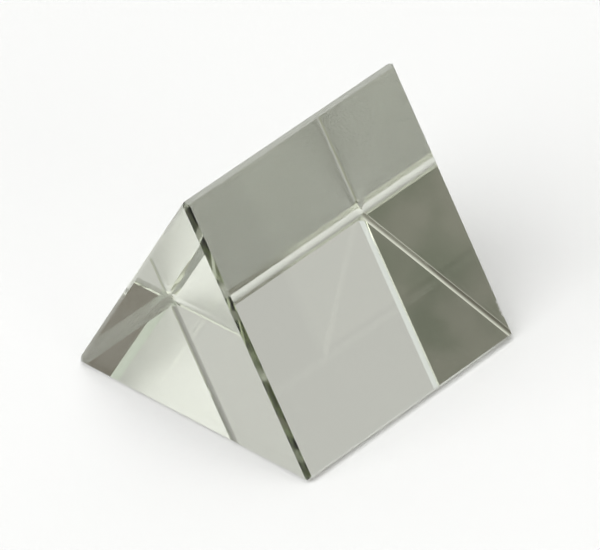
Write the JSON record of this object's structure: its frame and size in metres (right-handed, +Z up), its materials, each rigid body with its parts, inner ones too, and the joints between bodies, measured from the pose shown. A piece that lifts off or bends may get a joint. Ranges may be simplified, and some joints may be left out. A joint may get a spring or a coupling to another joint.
{
  "type": "equilateral prism",
  "caption": "Solid clear-glass optical prism, equilateral in section and about as long as its side, with polished faces and narrow bevelled edges, lying on a long face.",
  "frame": {"origin": "centre of the bounding box's footprint, on the plane of the long face that it rests on", "axes": "+Y along the prism, parallel to its long edges; +X across the section; +Z up from the resting face to the upper long edge"},
  "size_m": [0.0248, 0.025, 0.0215],
  "materials": {
    "optical_glass": "polished faces, finely ground bevels, refractive index 1.52"
  },
  "bodies": {
    "root": {"prism": "optical_glass"}
  },
  "joints": []
}
